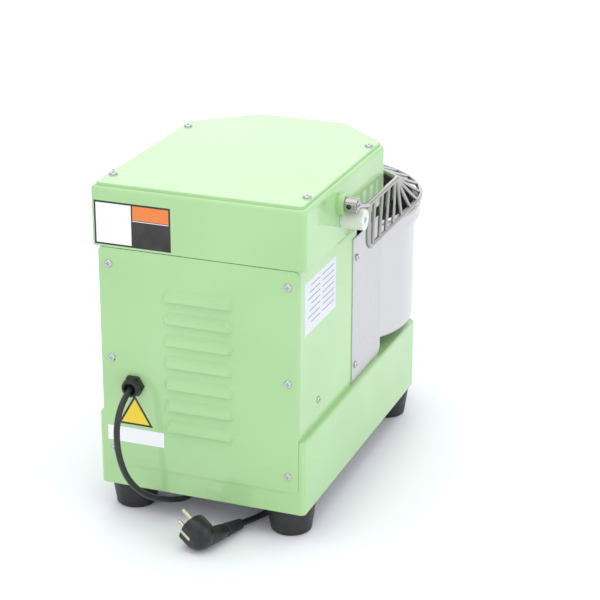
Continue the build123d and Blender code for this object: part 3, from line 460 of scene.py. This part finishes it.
def makePlug(data):
    turn, tilt = math.radians(data["turn"]), math.radians(data["tilt"])
    level = Vector((math.cos(turn), math.sin(turn), 0))
    out = level * math.cos(tilt) + Vector((0, 0, math.sin(tilt)))
    pinLine = Vector((0, 0, math.cos(tilt))) - level * math.sin(tilt)
    cable = Vector((level.y, -level.x, 0))  # the way the cable leaves
    radius, length = data["capRadius"], data["capLength"]
    capFrame = frameAt(data["face"], -out, cable)

    # cap: a round skirt, flattened on the two sides that carry the earth strips
    outline = [(0, 0), (radius - 1.4 * mm, 0), (radius - 0.2 * mm, 0.8 * mm), (radius, 2.2 * mm),
               (radius, length - 3 * mm), (radius - 0.8 * mm, length - 0.8 * mm),
               (radius * 0.86, length + 4 * mm), (radius * 0.62, length + 9 * mm),
               (radius * 0.36, length + 12 * mm), (0, length + 13 * mm)]
    cap = lathe(outline, 64, Matrix.Identity(4))
    for vert in cap.verts:
        flat = radius - data["notch"]
        if abs(vert.co.x) > flat and vert.co.z < length + 2 * mm:
            vert.co.x = math.copysign(flat, vert.co.x)
    cap.transform(capFrame)
    capPiece = show(asMesh(cap, "plug_cap"), "plug_cap", polyamide, "housing")
    bevelEdges(capPiece, 0.5 * mm)

    # boot: the body that carries the cable away, drawn through rings that shrink to the lead
    start = data["face"] - out * (length + 3 * mm)
    boot = bmesh.new()
    along = data["bootEnd"] - start
    rings = []
    shape = [(0.0, 9.5, 11.0), (0.2, 9.5, 11.0), (0.36, 9.2, 10.2), (0.5, 8.6, 8.8)]
    ribStart, ribEnd = 0.56, 0.97
    for rib in range(data["ribs"]):
        share = ribStart + (ribEnd - ribStart) * rib / data["ribs"]
        step = (ribEnd - ribStart) / data["ribs"]
        wide = 8.4 - 2.4 * rib / data["ribs"]
        shape += [(share, wide - 1.7, wide - 1.7), (share + 0.15 * step, wide, wide),
                  (share + 0.6 * step, wide, wide), (share + 0.72 * step, wide - 1.7, wide - 1.7)]
    shape += [(0.985, 5.2, 5.2), (1.0, 4.6, 4.6)]
    side = along.normalized().cross(Vector((0, 0, 1))).normalized()
    lift = side.cross(along.normalized())
    for share, wide, tall in shape:
        centre = start + along * share
        ring = []
        for i in range(32):
            a = 2 * math.pi * i / 32
            spot = centre + side * (wide * mm * math.cos(a)) + lift * (tall * mm * math.sin(a))
            spot.z = max(spot.z, 0.3 * mm)
            ring.append(boot.verts.new(spot))
        rings.append(ring)
    for low, high in zip(rings, rings[1:]):
        for i in range(32):
            j = (i + 1) % 32
            boot.faces.new((low[i], low[j], high[j], high[i]))
    boot.faces.new(rings[0])
    boot.faces.new(rings[-1])
    bootPiece = show(asMesh(boot, "plug_boot"), "plug_boot", polyamide, "housing")
    bevelEdges(bootPiece, 0.3 * mm)

    # earth strips on the two flats
    strips = bmesh.new()
    for sign in (-1, 1):
        box = bmesh.ops.create_cube(strips, size=1)["verts"]
        for vert in box:
            vert.co.y *= 4.2 * mm
            vert.co.x = sign * (radius - data["notch"] + 0.2 * mm) + vert.co.x * 0.7 * mm
            vert.co.z = length * 0.42 + vert.co.z * length * 0.78
    strips.transform(capFrame)
    stripPiece = show(asMesh(strips, "plug_earth"), "plug_earth", nickel, "housing")
    bevelEdges(stripPiece, 0.3 * mm)

    # pins: plated shank, rounded tip
    for index, height in enumerate(data["pinOffsets"]):
        pinFrame = frameAt(data["face"] + pinLine * height, out, cable)
        pin = lathe(
            [(2.4 * mm, -1 * mm), (2.4 * mm, 17 * mm), (2.1 * mm, 18.2 * mm), (1.3 * mm, 18.9 * mm),
             (0, 19 * mm)],
            24,
            pinFrame,
        )
        show(asMesh(pin, f"plug_pin_{index}"), f"plug_pin_{index}", nickel, "housing")
    return capPiece, bootPiece, stripPiece


plugPieces = makePlug(plug)
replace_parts(plugPieces[0], "plug_body", "plug_pins")
print("plug built")


# cable gland: hex nut, ribbed dome nut and a wide round mouth

gland = {"x": 82.0 * mm, "y": 253.0 * mm, "z": 169.3 * mm, "across": 27.8 * mm}


def makeGland(data):
    nutFrame = frameAt((data["x"], data["y"], data["z"]), (0, 1, 0), (1, 0, 0))
    nut = lathe(
        [(0, 0), (data["across"] / 2 - 1.0 * mm, 0), (data["across"] / 2, 0.8 * mm),
         (data["across"] / 2, 4.2 * mm), (data["across"] / 2 - 1.0 * mm, 5.0 * mm), (0, 5.0 * mm)],
        6,
        nutFrame,
    )
    nutPiece = show(
        asMesh(nut, "gland_nut"), "gland_nut", polyamide, "housing", smooth=False
    )
    bevelEdges(nutPiece, 0.5 * mm)
    domeFrame = frameAt((data["x"], data["y"] + 5 * mm, data["z"]), (0, 1, 0), (1, 0, 0))
    dome = lathe(
        [(11.4 * mm, -0.2 * mm), (11.6 * mm, 1 * mm), (11.5 * mm, 4.2 * mm), (10.8 * mm, 7.2 * mm),
         (9.6 * mm, 9.0 * mm), (8.2 * mm, 9.5 * mm), (6.9 * mm, 9.0 * mm), (6.2 * mm, 7.6 * mm),
         (6.1 * mm, 3.2 * mm), (4.2 * mm, 3.0 * mm)],
        48,
        Matrix.Identity(4),
    )
    for vert in dome.verts:  # shallow grip ribs round the nut's skirt
        angle = math.atan2(vert.co.y, vert.co.x)
        if vert.co.z < 4.5 * mm and vert.co.xy.length > 11 * mm:
            vert.co.xy *= 1 - 0.02 * (0.5 + 0.5 * math.cos(12 * angle))
    dome.transform(domeFrame)
    domePiece = show(asMesh(dome, "gland_dome"), "gland_dome", polyamide, "housing")
    return nutPiece, domePiece


glandPieces = makeGland(gland)
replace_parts(glandPieces[0], "cable_gland")


# stickers: plain coloured blocks with no words or signs

def stickerPlate(name, ink, corners, normal, thickness):
    built = bmesh.new()
    lift = Vector(normal) * thickness
    addPrism(built, [Vector(c) for c in corners], [Vector(c) + lift for c in corners])
    return show(asMesh(built, name), name, inks[ink], "housing", smooth=False)


def rearCorners(x0, x1, z0, z1, y):
    return [(x * mm, y * mm, z * mm) for x, z in ((x0, z0), (x1, z0), (x1, z1), (x0, z1))]


def sideCorners(y0, y1, z0, z1, x):
    return [(x * mm, y * mm, z * mm) for y, z in ((y0, z0), (y1, z0), (y1, z1), (y0, z1))]


stickers = {
    "panelY": 253.0, "headY": 253.5, "sideX": -123.0, "film": 0.12 * mm, "ink": 0.05 * mm,
    "strip": (45.5, 118.0, 94.3, 113.3),
    "triangle": ((59.3, 117.8), (104.0, 117.8), (82.0, 156.5)),
    "head": (31.0, 125.8, 339.8, 392.0),
    "rating": (131.5, 234.5, 252.3, 315.8),
}


def makeStickers(data):
    rear, film, ink = (0, 1, 0), data["film"], data["ink"]
    y = data["panelY"]
    x0, x1, z0, z1 = data["strip"]
    first = stickerPlate("sticker_strip", "white", rearCorners(x0, x1, z0, z1, y), rear, film)
    outer = [(x * mm, y * mm, z * mm) for x, z in data["triangle"]]
    stickerPlate("sticker_triangle", "dark", outer, rear, film)
    middle = sum((Vector(c) for c in outer), Vector()) / 3
    inner = [middle + (Vector(c) - middle) * 0.80 + Vector((0, film, 0)) for c in outer]
    stickerPlate("sticker_triangle_face", "yellow", inner, rear, ink)
    y = data["headY"]
    x0, x1, z0, z1 = data["head"]
    stickerPlate("sticker_head", "dark", rearCorners(x0, x1, z0, z1, y), rear, film)
    top = y + film / mm
    split = x0 + (x1 - x0) * 0.50
    blocks = [
        ("sticker_head_left", "white", (split + 1.2, x1 - 2.2, z0 + 2.2, z1 - 2.2)),
        ("sticker_head_band", "orange", (x0 + 2.2, split - 0.6, z1 - 19.0, z1 - 2.2)),
        ("sticker_head_rim", "white", (x0 + 2.2, split - 0.6, z1 - 20.6, z1 - 19.8)),
    ]
    for name, colour, (a, b, c, d) in blocks:
        stickerPlate(name, colour, rearCorners(a, b, c, d, top), rear, ink)
    y0, y1, z0, z1 = data["rating"]
    x = data["sideX"]
    side = (-1, 0, 0)
    stickerPlate("sticker_rating", "silver", sideCorners(y0, y1, z0, z1, x), side, film)
    face = x - film / mm
    for row in range(7):
        level = z1 - 8.0 - row * 7.4
        for index, (a, b) in enumerate(((0.06, 0.44), (0.52, 0.60 + 0.05 * (row % 3) + 0.2))):
            spans = (y0 + (y1 - y0) * a, y0 + (y1 - y0) * b, level, level + 1.1)
            corners = sideCorners(*spans, face)
            stickerPlate(f"sticker_rating_line_{row}_{index}", "slate", corners, side, ink)
    return first


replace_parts(makeStickers(stickers), "labels")
print("stickers laid")


# guard: a gusset from each hub to its arm

gusset = {
    "x": (0.1440, 0.1465),
    "outline": (
        (0.1515, 0.3755), (0.1370, 0.3755), (0.1325, 0.3782), (0.1325, 0.3842), (0.1400, 0.3905),
        (0.1515, 0.3868),
    ),
}


def makeGusset(data):
    # a plate under each hub, over the buffer, that the arm is welded to
    built = bmesh.new()
    for sign in (-1, 1):
        x0, x1 = (sign * v for v in data["x"])
        low = [(x0, y, z) for y, z in data["outline"]]
        addPrism(built, low, [(x1, y, z) for _, y, z in low])
    return show(
        asMesh(built, "guard_gusset"), "guard_gusset", steelRods, "guard", smooth=False
    )


bevelEdges(makeGusset(gusset), 0.4 * mm)
print("guard details added")


# dial numbers, on the control panel

dialMarks = {"x": 0.1253, "y": 0.168, "z": 0.228, "radius": 21.5 * mm, "size": 6.5 * mm}


def makeDialMarks(data):
    for number in range(6):
        angle = math.radians(225 - 54 * number)
        digit = bpy.data.curves.new(f"dial_number_{number}", "FONT")
        digit.body = str(number)
        digit.size = data["size"]
        digit.align_x = "CENTER"
        digit.align_y = "CENTER"
        digit.extrude = 0.05 * mm
        digit.materials.append(inks["white"])
        piece = bpy.data.objects.new(f"dial_number_{number}", digit)
        bpy.context.scene.collection.objects.link(piece)
        spot = (
            data["x"],
            data["y"] + data["radius"] * math.cos(angle),
            data["z"] + data["radius"] * math.sin(angle),
        )
        piece.matrix_world = frameAt(spot, (1, 0, 0), (0, 1, 0))
        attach(piece, "housing")


makeDialMarks(dialMarks)
print("dial numbered")


# a plain pale floor, one wide sheet, and a pale sky

studio = {"floor": "FAFBFF", "size": 30.0, "sky": (0.955, 0.965, 0.99, 1.0), "skyStrength": 1.0}


def makeStudio(data):
    built = bmesh.new()
    bmesh.ops.create_grid(built, x_segments=1, y_segments=1, size=data["size"] / 2)
    mesh = bpy.data.meshes.new("studio_floor")
    built.to_mesh(mesh)
    built.free()
    paper, _, surface, _ = newMaterial("studioPaper", {"Roughness": 0.7})
    surface.inputs["Base Color"].default_value = linear(data["floor"])
    mesh.materials.append(paper)
    floor = bpy.data.objects.new("studio_floor", mesh)
    bpy.context.scene.collection.objects.link(floor)
    world = bpy.data.worlds.new("studioSky")
    world.use_nodes = True
    backdrop = world.node_tree.nodes["Background"]
    backdrop.inputs["Color"].default_value = data["sky"]
    backdrop.inputs["Strength"].default_value = data["skyStrength"]
    bpy.context.scene.world = world
    bpy.context.scene.view_settings.view_transform = "Standard"  # a plain high-key product shot


makeStudio(studio)
print("studio set")
